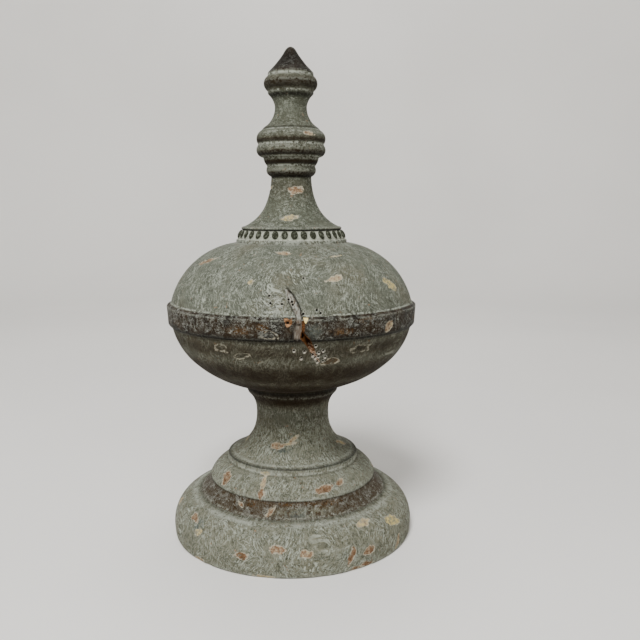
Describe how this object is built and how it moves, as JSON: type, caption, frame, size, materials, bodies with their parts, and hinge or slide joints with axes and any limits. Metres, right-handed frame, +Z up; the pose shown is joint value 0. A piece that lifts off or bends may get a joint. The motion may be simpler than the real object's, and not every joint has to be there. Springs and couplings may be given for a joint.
{
  "type": "decorative wooden table finial",
  "caption": "Turned wooden finial with stepped round foot, hooped belly, beaded collar and ringed spire, in distressed grey-green paint with a split knot.",
  "frame": {"origin": "centre of the flat underside, on the turning axis", "axes": "+Z up the turning axis; -Y towards the worn side with the knot and the split"},
  "size_m": [0.2104, 0.2104, 0.406],
  "materials": {
    "painted_wood": "matt dry-brushed grey-green paint, worn through to brown and pale wood"
  },
  "bodies": {
    "root": {"finial": "painted_wood"}
  },
  "joints": []
}
